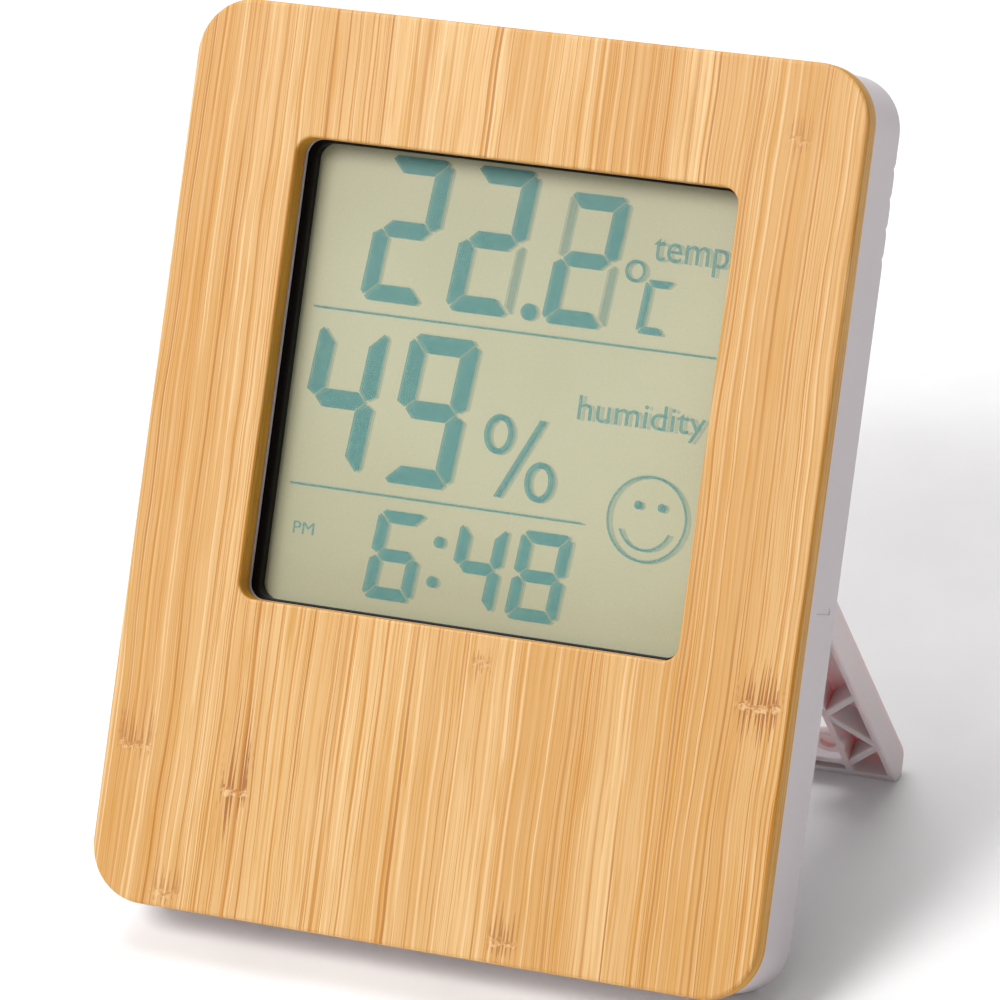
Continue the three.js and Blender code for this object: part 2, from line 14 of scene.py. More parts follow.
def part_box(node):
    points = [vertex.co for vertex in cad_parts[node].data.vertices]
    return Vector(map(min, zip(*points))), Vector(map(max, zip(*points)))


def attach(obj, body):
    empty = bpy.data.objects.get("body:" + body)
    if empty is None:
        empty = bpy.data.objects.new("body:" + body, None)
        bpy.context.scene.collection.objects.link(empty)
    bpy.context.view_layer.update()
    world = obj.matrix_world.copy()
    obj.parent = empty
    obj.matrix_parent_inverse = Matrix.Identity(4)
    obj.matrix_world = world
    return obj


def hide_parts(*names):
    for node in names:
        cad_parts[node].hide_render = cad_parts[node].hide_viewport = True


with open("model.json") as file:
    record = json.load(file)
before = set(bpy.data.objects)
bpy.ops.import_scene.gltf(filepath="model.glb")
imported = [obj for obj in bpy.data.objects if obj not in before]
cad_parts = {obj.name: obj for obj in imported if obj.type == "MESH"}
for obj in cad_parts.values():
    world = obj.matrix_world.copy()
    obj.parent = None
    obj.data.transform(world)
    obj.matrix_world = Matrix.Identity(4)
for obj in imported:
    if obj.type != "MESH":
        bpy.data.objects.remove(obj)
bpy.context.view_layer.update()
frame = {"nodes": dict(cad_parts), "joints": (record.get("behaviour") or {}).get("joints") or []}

MM = 0.001
ARC = 10
ROUND = 64

# ---- driving dimensions, as in the CAD ----
PLATE = {"half_x": 47.5, "half_z": 59.5, "corner": 7.6, "thick": 2.7}
WINDOW = {"half": 31.25, "bottom": -17.95, "top": 42.5, "corner": 2.2}
CASE = {"half_x": 46.98, "half_z": 58.98, "corner": 7.1, "front": 3.1, "rear": 12.5, "wall": 1.5, "edge": 0.3}
FILM = {"half": 31.8, "bottom": -19.0, "top": 42.5, "front": 5.35, "rear": 5.55}
BEZEL = {"half": 33.2, "lap": 2.0, "side": 1.1, "end": 0.3, "front": 3.8, "rear": 5.2}
POCKET = {"side": 45.4, "channel": 37.7, "floor": 5.8, "middle": 8.7, "wall": 1.1}
POCKET_ROWS = {"bottom": -53.6, "step": -21.6, "top": -2.1}
GRIP = {"radius": 3.0, "depth": 0.7, "first": 36.1, "pitch": 3.85, "count": 4}
CELL = {"x": 22, "z": 16, "bore": 10.8, "cup": 11.8, "flange": 15, "floor": 8.1}
DOOR = {"radius": 12, "lug": 13.1, "groove": 13.4, "front": 11.0, "rear": 12.45}
BUTTONS = {"mode": -38, "up": -26, "down": -15, "unit": -4}
BUTTON = {"z": 16, "radius": 3.1, "hole": 3.35, "flange": 3.9, "stem": 1.2, "front": 9.95, "rear": 12.9}
STAND = {"half": 45, "outer": 3.5, "inner": -1.0, "under": 2.3, "hub": 2.6, "top": 2.0}
LEG = {"inner": 38.1, "flange": 39.1, "wall": 44, "reach": 46.8, "bar": 42.2, "head": 8, "toe": 44.6}
# Each rib's reach down the leg at the outer wall and at the inner wall.
RIBS = [(37.3, 31.15), (37.3, 43.05), (25.0, 30.75)]
BOSS = {"x": 37.1, "z": -38, "radius": 2.4, "bore": 1.1, "rear": 0.2}
PIVOT = {"y": 8.8, "z": -6.3, "open": 58.4}
CASE_SCREWS = [(-40, 52.5), (40, 52.5)]
FLOOR_SCREWS = [(-28, -34), (28, -34)]

# ---- the case's frame, from the record's door axis and the plate's own box ----
joints = {joint["name"]: joint for joint in frame["joints"]}
rearward = Vector(joints["battery_door_turn"]["axis"])
rightward = Vector((1, 0, 0))
upward = rightward.cross(rearward)
plate_low, plate_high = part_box("bamboo_front_plate")
plate_front = (plate_low + plate_high) / 2 - rearward * PLATE["thick"] / 2 * MM
CASE_FRAME = Matrix.Translation(plate_front) @ Matrix((rightward, rearward, upward)).transposed().to_4x4()
STAND_FRAME = (
    CASE_FRAME
    @ Matrix.Translation(Vector((0, PIVOT["y"], PIVOT["z"])) * MM)
    @ Matrix.Rotation(math.radians(PIVOT["open"]), 4, "X")
)


# ---- outlines: loops of (x, z) points, anticlockwise ----
def arc(cx, cz, radius, start, end, steps=ARC):
    """Points on an arc between two angles in degrees."""
    points = []
    for step in range(steps + 1):
        angle = math.radians(start + (end - start) * step / steps)
        points.append((cx + radius * math.cos(angle), cz + radius * math.sin(angle)))
    return points


def rounded(x0, z0, x1, z1, radius, steps=ARC):
    """A rounded rectangle."""
    return (
        arc(x1 - radius, z1 - radius, radius, 0, 90, steps)
        + arc(x0 + radius, z1 - radius, radius, 90, 180, steps)
        + arc(x0 + radius, z0 + radius, radius, 180, 270, steps)
        + arc(x1 - radius, z0 + radius, radius, 270, 360, steps)
    )


def circle(x, z, radius, sides=ROUND):
    return arc(x, z, radius, 0, 360, sides)[:-1]


def inset(loop, amount):
    """The loop with every edge moved inwards; a negative amount grows it."""
    if not amount:
        return loop
    moved = []
    for i, here in enumerate(loop):
        before, after = Vector(loop[i - 1]), Vector(loop[(i + 1) % len(loop)])
        first, second = (Vector(here) - before).normalized(), (after - Vector(here)).normalized()
        bisector = Vector((-first.y - second.y, first.x + second.x))
        moved.append(tuple(Vector(here) + bisector * (2 * amount / bisector.length_squared)))
    return moved


def sector(inner, outer, middle, span):
    """A piece of a ring about the coin cell's axis."""
    x, z = CELL["x"], CELL["z"]
    start, end = middle - span / 2, middle + span / 2
    return arc(x, z, outer, start, end) + arc(x, z, inner, end, start)


def fillet(radius, steps=5):
    """(depth, inset) pairs that round an edge, from the face down to the side."""
    if not radius:
        return [(0, 0)]
    turns = [math.pi / 2 * step / steps for step in range(steps + 1)]
    return [(radius * (1 - math.cos(turn)), radius * (1 - math.sin(turn))) for turn in turns]


# ---- meshes ----
def mesh_object(name, points, faces):
    mesh = bpy.data.meshes.new(name)
    mesh.from_pydata([Vector(point) * MM for point in points], [], faces)
    shape = bmesh.new()
    shape.from_mesh(mesh)
    bmesh.ops.remove_doubles(shape, verts=shape.verts, dist=1e-8)
    bmesh.ops.recalc_face_normals(shape, faces=shape.faces)
    shape.to_mesh(mesh)
    shape.free()
    made = bpy.data.objects.new(name, mesh)
    bpy.context.scene.collection.objects.link(made)
    return made


def loft(name, levels, across=False):
    """A closed solid through (depth, loop) levels; across makes X the depth and the loops (y, z)."""
    points, faces = [], []
    count = len(levels[0][1])
    for depth, loop in levels:
        points += [(depth, u, v) if across else (u, depth, v) for u, v in loop]
    for start in range(0, (len(levels) - 1) * count, count):
        for i in range(count):
            j = (i + 1) % count
            faces.append((start + i, start + j, start + j + count, start + i + count))
    faces.append(tuple(range(count)))
    faces.append(tuple(range(len(points) - count, len(points))))
    return mesh_object(name, points, faces)


def slab(name, loop, front, rear, soft_front=0.0, soft_rear=0.0, across=False):
    """A flat piece between two depths, with rounded edges."""
    levels = [(front + depth, inset(loop, amount)) for depth, amount in fillet(soft_front)]
    levels += [(rear - depth, inset(loop, amount)) for depth, amount in reversed(fillet(soft_rear))]
    return loft(name, levels, across)


def punch(loop, mouth, bottom, lip=0.0, foot=0.0):
    """A cutter that enters a surface at the mouth, with a rounded lip, and stops at the bottom."""
    way = math.copysign(1, bottom - mouth)
    levels = [(mouth - way, inset(loop, -lip))]
    levels += [(mouth + way * depth, inset(loop, -amount)) for depth, amount in fillet(lip)]
    levels += [(bottom - way * depth, inset(loop, amount)) for depth, amount in reversed(fillet(foot))]
    return loft("cutter", levels)


def turned(name, profile, x=0.0, z=0.0, sides=ROUND):
    """A round piece about the depth axis at (x, z), from (radius, depth) pairs."""
    return loft(name, [(depth, circle(x, z, radius, sides)) for radius, depth in profile])


def knob(name, radius, front, rear, soft_front=0.0, soft_rear=0.0, x=0.0, z=0.0):
    """A round slab."""
    return slab(name, circle(x, z, radius), front, rear, soft_front, soft_rear)


def crossbar(x0, x1, y, z, radius, soft=0.0):
    return slab("bar", circle(y, z, radius), x0, x1, soft, soft, across=True)


def table(placement):
    """A cutter for everything below the table top, in the own frame of a piece yet to be placed."""
    block = slab("cutter", rounded(-90, -60, 90, 0, 1, 2), -100, 100)
    block.data.transform(placement.inverted())
    return block


def bake(target):
    """Applies the object's modifiers."""
    graph = bpy.context.evaluated_depsgraph_get()
    graph.update()
    made = bpy.data.meshes.new_from_object(target.evaluated_get(graph))
    target.modifiers.clear()
    target.data = made


def combine(target, tools, operation):
    for tool in tools:
        step = target.modifiers.new("step", "BOOLEAN")
        step.operation = operation
        step.solver = "MANIFOLD"
        step.object = tool
    before = len(target.data.vertices)
    bake(target)
    if len(target.data.vertices) == before:
        raise RuntimeError(f"{target.name}: a {operation.lower()} changed nothing")
    for tool in tools:
        bpy.data.objects.remove(tool)
    return target


def cut(target, *tools):
    return combine(target, tools, "DIFFERENCE")


def join(target, *tools):
    return combine(target, tools, "UNION")


def smooth(target, angle=32):
    """Soft shading over curves, with flat faces kept flat."""
    shape = bmesh.new()
    shape.from_mesh(target.data)
    bmesh.ops.remove_doubles(shape, verts=shape.verts, dist=2e-7)
    bmesh.ops.dissolve_degenerate(shape, edges=shape.edges, dist=1e-8)
    shape.to_mesh(target.data)
    shape.free()
    target.data.shade_smooth()
    target.data.set_sharp_from_angle(angle=math.radians(angle))
    weighted = target.modifiers.new("weighted", "WEIGHTED_NORMAL")
    weighted.keep_sharp = True
    weighted.weight = 100
    bake(target)
    return target


def place(target, body, material, stands_for=(), placement=CASE_FRAME, keep_local=False):
    """Puts a piece in the row frame and lets it ride on its CAD body."""
    if keep_local:
        target.matrix_world = placement
    else:
        target.data.transform(placement)
    if material:
        target.data.materials.clear()
        target.data.materials.append(material)
    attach(target, body)
    if stands_for:
        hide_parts(*stands_for)
    return target


# ---- materials ----
def srgb(red, green, blue):
    """A colour given as 0 to 255 sRGB, in linear light."""
    linear = []
    for value in (red, green, blue):
        share = value / 255
        linear.append(share / 12.92 if share <= 0.04045 else ((share + 0.055) / 1.055) ** 2.4)
    return (*linear, 1.0)


class Finish:
    """A node material with a Principled surface, and short ways to add nodes to it."""

    def __init__(self, name, **surface):
        self.material = bpy.data.materials.new(name)
        self.material.use_nodes = True
        self.tree = self.material.node_tree
        self.surface = self.tree.nodes["Principled BSDF"]
        for socket, value in surface.items():
            self.set(self.surface.inputs[socket.replace("_", " ")], value)
        place_in = self.tree.nodes.new("ShaderNodeTexCoord")
        self.place = self.vector("SCALE", place_in.outputs["Object"], Scale=1000)

    def set(self, socket, value):
        if isinstance(value, bpy.types.NodeSocket):
            self.tree.links.new(value, socket)
        else:
            socket.default_value = value

    def math(self, operation, *values, clamp=False):
        node = self.tree.nodes.new("ShaderNodeMath")
        node.operation = operation
        node.use_clamp = clamp
        for socket, value in zip(node.inputs, values):
            self.set(socket, value)
        return node.outputs[0]

    def vector(self, operation, *values, **named):
        node = self.tree.nodes.new("ShaderNodeVectorMath")
        node.operation = operation
        for socket, value in zip(node.inputs, values):
            self.set(socket, value)
        for name, value in named.items():
            self.set(node.inputs[name], value)
        return node.outputs[0]

    def split(self, source):
        node = self.tree.nodes.new("ShaderNodeSeparateXYZ")
        self.set(node.inputs[0], source)
        return node.outputs

    def merge(self, x, y, z):
        node = self.tree.nodes.new("ShaderNodeCombineXYZ")
        for socket, value in zip(node.inputs, (x, y, z)):
            self.set(socket, value)
        return node.outputs[0]

    def noise(self, source, scale=1.0, detail=2.0, roughness=0.5):
        node = self.tree.nodes.new("ShaderNodeTexNoise")
        self.set(node.inputs["Vector"], source)
        node.inputs["Scale"].default_value = scale
        node.inputs["Detail"].default_value = detail
        node.inputs["Roughness"].default_value = roughness
        return node.outputs[0]

    def times(self, first, second):
        return self.math("MULTIPLY", first, second)

    def plus(self, first, second):
        return self.math("ADD", first, second)

    def minus(self, first, second):
        return self.math("SUBTRACT", first, second)

    def cells(self, along, randomness=1.0):
        """A random value for each cell of uneven width along a line."""
        node = self.tree.nodes.new("ShaderNodeTexVoronoi")
        node.voronoi_dimensions = "1D"
        node.inputs["Scale"].default_value = 1.0
        node.inputs["Randomness"].default_value = randomness
        self.set(node.inputs["W"], along)
        return self.split(node.outputs["Color"])[0]

    def threads(self, along):
        """Lines scattered along a direction: the distance to the nearest, and its own random values."""
        node = self.tree.nodes.new("ShaderNodeTexVoronoi")
        node.voronoi_dimensions = "1D"
        node.inputs["Scale"].default_value = 1.0
        self.set(node.inputs["W"], along)
        return node.outputs["Distance"], self.split(node.outputs["Color"])

    def band(self, value, low, high, to_low=0.0, to_high=1.0):
        """A smooth step."""
        node = self.tree.nodes.new("ShaderNodeMapRange")
        node.interpolation_type = "SMOOTHSTEP"
        for socket, part in zip(node.inputs, (value, low, high, to_low, to_high)):
            self.set(socket, part)
        return node.outputs[0]

    def mix(self, share, first, second):
        node = self.tree.nodes.new("ShaderNodeMix")
        node.data_type = "RGBA"
        self.set(node.inputs["Factor"], share)
        self.set(node.inputs[6], first)
        self.set(node.inputs[7], second)
        return node.outputs[2]

    def bump(self, height, distance, strength=1.0):
        node = self.tree.nodes.new("ShaderNodeBump")
        node.inputs["Distance"].default_value = distance * MM
        node.inputs["Strength"].default_value = strength
        self.set(node.inputs["Height"], height)
        self.tree.links.new(node.outputs[0], self.surface.inputs["Normal"])

    def paint(self, colour):
        self.set(self.surface.inputs["Base Color"], colour)
        return self.material


# Growth rings: x, z, half width, dashes above, dashes below, strength.
KNOTS = [
    (43.2, -22.0, 3.6, 7.0, 5.5, 1.0),
    (-28.0, -43.0, 2.6, 16.0, 8.0, 1.0),
    (-43.2, -39.0, 3.2, 9.0, 2.0, 0.7),
    (38.5, 49.5, 2.2, 4.0, 3.0, 0.5),
    (12.5, -56.5, 2.6, 7.0, 3.0, 0.8),
    (-36.0, -57.5, 2.8, 6.0, 2.0, 0.6),
    (4.5, -21.5, 2.0, 2.0, 5.0, 0.6),
]


def bamboo_face():
    """Laminated bamboo: strips of uneven tone, long thin fibres whose pale ones are partly painted highlight,
    and growth rings with short dashes and a painted highlight band under each ring's line.
    """
    finish = Finish("bamboo_face", Roughness=0.5, Coat_Weight=0.05, Coat_Roughness=0.35)
    x0, _, z0 = finish.split(finish.place)
    times, plus, minus = finish.times, finish.plus, finish.minus
    drift = finish.noise(finish.merge(times(x0, 0.05), 0, times(z0, 0.02)))
    waver = finish.noise(finish.merge(times(x0, 0.35), 5.0, times(z0, 0.05)))
    x = plus(plus(x0, times(drift, 2.6)), times(waver, 0.5))

    def fibres(across, along, seed, detail=2.0, roughness=0.5):
        return finish.noise(finish.merge(times(x, across), seed, times(z0, along)), 1.0, detail, roughness)

    def veins(per_mm, half, seed, fade):
        """Thin lines of uneven strength that come and go along their length."""
        gap, own = finish.threads(plus(times(x, per_mm), seed))
        fresh = finish.noise(finish.merge(times(x, per_mm * 0.8), seed, times(z0, fade)), 1.0, 1.0)
        wide = times(plus(own[0], 0.35), half * per_mm)
        blur = 0.4 * half * per_mm
        line = finish.band(minus(gap, wide), -blur, blur, 1.0, 0.0)
        return times(times(line, finish.band(own[1], 0.1, 0.7)), finish.band(fresh, 0.34, 0.54, 0.2, 1.0))

    strip = finish.cells(times(x, 0.17), 0.9)
    cloud = fibres(0.12, 0.02, 3.0)
    crowd = finish.band(fibres(0.34, 0.006, 57.0), 0.38, 0.6, 0.3, 1.0)
    soft = fibres(1.1, 0.008, 11.0, 3.0, 0.6)
    short = fibres(3.0, 0.07, 71.0, 2.0)

    colour = finish.mix(finish.band(strip, 0.1, 0.9), srgb(227, 185, 125), srgb(213, 163, 97))
    colour = finish.mix(finish.band(cloud, 0.42, 0.6, 0.0, 0.45), colour, srgb(208, 153, 80))
    colour = finish.mix(finish.band(soft, 0.5, 0.64, 0.0, 0.6), colour, srgb(208, 150, 66))
    # Pale veins: partly pale fibres, partly painted highlight.
    colour = finish.mix(times(veins(1.0, 0.18, 5.3, 0.02), 0.7), colour, srgb(238, 203, 150))
    colour = finish.mix(times(times(veins(1.15, 0.13, 17.7, 0.03), crowd), 1.0), colour, srgb(192, 122, 16))
    colour = finish.mix(times(times(veins(2.7, 0.06, 41.1, 0.04), crowd), 1.0), colour, srgb(188, 122, 20))
    colour = finish.mix(times(veins(0.35, 0.13, 63.9, 0.02), 0.9), colour, srgb(178, 110, 14))
    colour = finish.mix(finish.band(short, 0.53, 0.66, 0.0, 0.6), colour, srgb(202, 142, 44))

    ripple = finish.noise(finish.place, 0.9, 3.0)
    broken = finish.band(finish.noise(finish.merge(times(x0, 1.3), 9.0, z0), 1.0, 2.0), 0.42, 0.56)
    gap, own = finish.threads(times(x, 1.9))
    for across, up, reach, above, below, strength in KNOTS:
        dx = minus(x0, across)
        bowl = times(times(dx, dx), 0.05)
        level = minus(minus(z0, up), bowl)
        level = minus(plus(level, times(ripple, 2.4)), 1.2)
        width = plus(finish.math("ABSOLUTE", dx), times(ripple, 1.6))
        inside = finish.band(width, reach * 0.8, reach * 1.25, strength, 0.0)
        rise = finish.math("DIVIDE", level, times(plus(own[0], 0.25), above))
        fall = finish.math("DIVIDE", level, times(plus(own[2], 0.25), -below))
        taper = finish.math("SUBTRACT", 1.0, finish.math("MAXIMUM", rise, fall), clamp=True)
        start = finish.band(finish.math("ABSOLUTE", level), 0.1, 0.5)
        dash = finish.band(minus(gap, times(taper, 0.4)), -0.12, 0.04, 1.0, 0.0)
        share = times(times(times(dash, start), inside), finish.band(taper, 0.0, 0.35))
        colour = finish.mix(share, colour, srgb(166, 102, 36))
        share = times(times(finish.band(finish.math("ABSOLUTE", level), 0.12, 0.4, 0.9, 0.0), inside), broken)
        colour = finish.mix(share, colour, srgb(168, 106, 40))
        # A painted highlight band just under each ring's dark line.
        under = finish.math("ABSOLUTE", plus(level, 0.45))
        share = times(times(finish.band(under, 0.1, 0.35, 0.7, 0.0), inside), broken)
        colour = finish.mix(share, colour, srgb(236, 196, 140))
    finish.bump(minus(times(strip, 0.1), soft), 0.04, 0.5)
    return finish.paint(colour)


def bamboo_side():
    """The plate's edges: thin layers, with darker flecks; their darker, more orange tone than the face is
    partly the edge grain and partly painted shade.
    """
    finish = Finish("bamboo_side", Roughness=0.5)
    times = finish.times
    x, y, z = finish.split(finish.place)
    layer = finish.noise(finish.merge(times(x, 0.05), times(y, 2.2), times(z, 0.06)), 1.0, 3.0)
    fleck = finish.noise(finish.merge(times(x, 0.4), times(y, 6.0), times(z, 0.3)), 1.0, 3.0)
    colour = finish.mix(finish.band(layer, 0.35, 0.65), srgb(220, 160, 54), srgb(200, 140, 34))
    colour = finish.mix(finish.band(fleck, 0.55, 0.7, 0.0, 0.6), colour, srgb(166, 108, 16))
    finish.bump(layer, 0.02, 0.4)
    return finish.paint(colour)


def plastic(name, tone, roughness, grain=0.006, **extra):
    """Moulded plastic: a fine even texture and a faint change of tone over the part."""
    finish = Finish(name, Roughness=roughness, **extra)
    cloud = finish.noise(finish.place, 0.05, 3.0)
    shade = finish.mix(finish.band(cloud, 0.3, 0.7), tone, [value * 0.96 for value in tone[:3]] + [1.0])
    finish.bump(finish.noise(finish.place, 4.0, 4.0, 0.6), grain, 0.6)
    return finish.paint(shade)


def metal(name, tone, roughness):
    finish = Finish(name, Metallic=1.0, Roughness=roughness)
    scratch = finish.noise(finish.place, 2.5, 5.0, 0.7)
    uneven = finish.band(scratch, 0.3, 0.7, roughness, roughness + 0.12)
    finish.set(finish.surface.inputs["Roughness"], uneven)
    return finish.paint(finish.mix(finish.band(scratch, 0.4, 0.8, 0.0, 0.2), tone, srgb(120, 118, 112)))


def film_face():
    """The grey-green film of a reflective display, with a fine sparkle."""
    finish = Finish("film_face", Roughness=0.38, Coat_Weight=0.1, Coat_Roughness=0.25)
    cloud = finish.noise(finish.place, 0.03, 2.0)
    sparkle = finish.noise(finish.place, 3.4, 3.0, 0.7)
    colour = finish.mix(finish.band(cloud, 0.35, 0.65), srgb(178, 177, 145), srgb(172, 171, 138))
    colour = finish.mix(finish.band(sparkle, 0.55, 0.75, 0.0, 0.35), colour, srgb(196, 193, 168))
    colour = finish.mix(finish.band(sparkle, 0.45, 0.25, 0.0, 0.3), colour, srgb(150, 147, 118))
    return finish.paint(colour)


def ink(name, tone, alpha):
    """Thin see-through ink of slightly uneven tone; with another tone and alpha the same maker gives the
    bars' painted shadows.
    """
    finish = Finish(name, Roughness=0.5, Alpha=alpha)
    cloud = finish.noise(finish.place, 1.6, 2.0)
    return finish.paint(finish.mix(finish.band(cloud, 0.3, 0.7, 0.0, 0.25), tone, srgb(118, 170, 156)))


white = plastic("white_abs", srgb(214, 206, 210), 0.42)
stand_white = plastic("stand_abs", srgb(219, 209, 211), 0.4, Subsurface_Weight=0.6, Subsurface_Scale=0.004)
black = plastic("black_abs", srgb(9, 8, 9), 0.35, Specular_IOR_Level=0.15)
hidden = {
    "tape": plastic("foam_tape", srgb(210, 206, 196), 0.85, 0.03),
    "display_glass": plastic("cell_glass", srgb(188, 196, 184), 0.1, 0.001),
    "display_film": plastic("rear_film", srgb(185, 183, 156), 0.4, 0.002),
    "rubber": plastic("zebra_rubber", srgb(40, 40, 42), 0.85, 0.02),
    "board": plastic("solder_mask", srgb(28, 96, 54), 0.45, 0.004),
    "epoxy": plastic("epoxy_black", srgb(14, 14, 15), 0.3, 0.01),
    "sensor": plastic("sensor_case", srgb(236, 235, 228), 0.4, 0.004),
    "steel": metal("plain_steel", srgb(196, 197, 198), 0.28),
    "spring": metal("nickel_spring", srgb(205, 196, 170), 0.25),
    "white_plastic": white,
    "black_plastic": black,
    "bamboo": bamboo_side(),
}


# ---- bamboo plate ----
def bamboo_plate():
    half_x, half_z = PLATE["half_x"], PLATE["half_z"]
    outline = rounded(-half_x, -half_z, half_x, half_z, PLATE["corner"], 16)
    window = rounded(-WINDOW["half"], WINDOW["bottom"], WINDOW["half"], WINDOW["top"], WINDOW["corner"])
    plate = slab("bamboo_plate", outline, 0, PLATE["thick"], 0.5, 0.25)
    smooth(cut(plate, punch(window, 0, PLATE["thick"] + 1, 0.35)))
    plate.data.materials.clear()
    plate.data.materials.append(bamboo_face())
    plate.data.materials.append(hidden["bamboo"])
    # The edges and the window's walls take the side finish, whose darker tone is partly painted shade.
    for face in plate.data.polygons:
        face.material_index = 0 if abs(face.normal.y) > 0.7 else 1
    place(plate, "case", None, ["bamboo_front_plate"], keep_local=True)


# ---- case ----
def pocket_blocks():
    side, rear = CASE["half_x"] - CASE["wall"] + 0.2, CASE["rear"] - CASE["wall"] + 0.2
    wall, floor, middle = POCKET["wall"], POCKET["floor"], POCKET["middle"]
    bottom, step, top = (POCKET_ROWS[row] for row in ("bottom", "step", "top"))
    inner = POCKET["channel"] - wall
    low = step - 1
    high = top + wall - 0.01
    return [
        slab("block", rounded(-side, bottom - wall, side, step + wall, 0.4), floor - wall, rear),
        slab("block", rounded(-side, low, side, top + wall, 0.4), middle - wall, rear - 0.01),
        slab("block", rounded(-side, low, -inner, high, 0.4), floor - wall + 0.01, rear - 0.02),
        slab("block", rounded(inner, low, side, high, 0.4), floor - wall + 0.01, rear - 0.02),
    ]


def pocket_cutters():
    side, channel, floor, middle = (POCKET[key] for key in ("side", "channel", "floor", "middle"))
    bottom, step, top = (POCKET_ROWS[row] for row in ("bottom", "step", "top"))
    below = middle + 1
    low = step - 2
    deep = [
        rounded(-side, bottom, side, step, 0.7),
        rounded(-side, low, -channel, top, 0.7),
        rounded(channel, low, side, top, 0.7),
    ]
    return [
        punch(rounded(-side, bottom, side, top, 0.7), CASE["rear"], middle, 0.2, 0.2),
        *[loft("cutter", [(floor, loop), (below, loop)]) for loop in deep],
    ]


def case_shell():
    half_x, half_z, front, rear, wall = (CASE[key] for key in ("half_x", "half_z", "front", "rear", "wall"))
    outline = rounded(-half_x, -half_z, half_x, half_z, CASE["corner"], 16)
    out = rear + 1
    inside = rear - wall + 0.3
    x, z = CELL["x"], CELL["z"]
    shell = slab("case_shell", outline, front, rear, 0.15, CASE["edge"])
    cut(shell, punch(inset(outline, wall), front, rear - wall, 0.15, 0.3))
    join(
        shell,
        *pocket_blocks(),
        knob("cup", CELL["cup"], CELL["floor"] - 0.5, inside, x=x, z=z),
        knob("seat", CELL["flange"], rear - 2.4, inside, 0.2, x=x, z=z),
    )
    half, radius = GRIP["pitch"] / 2, GRIP["radius"]
    valleys = []
    for row in range(GRIP["count"]):
        for height in (GRIP["first"] + row * GRIP["pitch"], -GRIP["first"] - row * GRIP["pitch"]):
            span = rounded(-60, height - half, 60, height + half, 0.01, 1)
            beads = [crossbar(-61, 61, rear - radius, height + step, radius) for step in (-half, half)]
            valleys.append(cut(loft("cutter", [(rear - GRIP["depth"], span), (out, span)]), *beads))
    groove = circle(x, z, DOOR["groove"], 96)
    holes = [circle(place_x, BUTTON["z"], BUTTON["hole"]) for place_x in BUTTONS.values()]
    vents = [rounded(38.8, 9.3 + 4 * row, 43.2, 10.7 + 4 * row, 0.69) for row in range(5)]
    # A faint mark on each side, level with the stand's hinge.
    dent = rounded(5.4, -9.5, 10.4, -8.6, 0.44)
    dents = [(side * 47.5 - 0.64, side * 47.5 + 0.64) for side in (1, -1)]
    cut(
        shell,
        *pocket_cutters(),
        *valleys,
        *[punch(vent, rear, rear - 3, 0.2) for vent in vents],
        *[punch(hole, rear, rear - 2.5, 0.25) for hole in holes],
        punch(circle(x, z, CELL["bore"], 96), out, CELL["floor"], 0, 0.4),
        punch(circle(x, z, DOOR["radius"] + 0.2, 96), rear, 10.9, 0.2),
        loft("cutter", [(10.9, groove), (11.7, groove)]),
        *[punch(sector(CELL["bore"], DOOR["groove"], middle, 42), out, 10.95) for middle in (60, 240)],
        *[punch(circle(sx, sz, 2.3), rear, 11.5, 0.2) for sx, sz in CASE_SCREWS],
        *[punch(circle(sx, sz, 1.1), out, 9.5) for sx, sz in CASE_SCREWS],
        *[punch(circle(sx, sz, 1.1), POCKET["floor"] + 1, 3) for sx, sz in FLOOR_SCREWS],
        *[crossbar(side * 45.1 - 1.1, side * 45.1 + 1.1, PIVOT["y"], PIVOT["z"], 1.85) for side in (1, -1)],
        *[slab("cutter", dent, start, end, 0.12, 0.12, across=True) for start, end in dents],
    )
    smooth(cut(shell, table(CASE_FRAME)))
    place(shell, "case", white, ["back_cover"])


# ---- stand, in its own frame: the pivot at the origin, Y out of the back and -Z down the leg ----
def curve(start, control, end, steps=6):
    points = []
    for step in range(1, steps + 1):
        t = step / steps
        points.append(
            tuple((1 - t) ** 2 * a + 2 * t * (1 - t) * b + t * t * c for a, b, c in zip(start, control, end))
        )
    return points


def stand_outline():
    outer, inner, hub, top = (STAND[key] for key in ("outer", "inner", "hub", "top"))
    reach = -LEG["reach"]
    tangent = 180 + math.degrees(math.acos(-inner / hub))
    return (
        [(outer, top)]
        + arc(0, 0, hub, 90, tangent, 14)
        + [(inner, reach + 1.3)]
        + curve((inner, reach + 1.3), (inner + 0.1, reach + 0.6), (0.3, reach))
        + [(outer - 0.6, reach + 1.7)]
        + curve((outer - 0.6, reach + 1.7), (outer, reach + 2.3), (outer, reach + 3.2))
    )


def rib(x0, reach0, x1, reach1):
    """A straight rib in the leg's channel."""
    way = Vector((x1 - x0, reach0 - reach1)).normalized()
    side = Vector((-way.y, way.x)) * 0.55
    start, end = Vector((x0, -reach0)), Vector((x1, -reach1))
    corners = [tuple(point) for point in (start - side, end - side, end + side, start + side)]
    return slab("rib", corners, STAND["inner"] + 0.08, STAND["under"] + 0.2, 0.3)


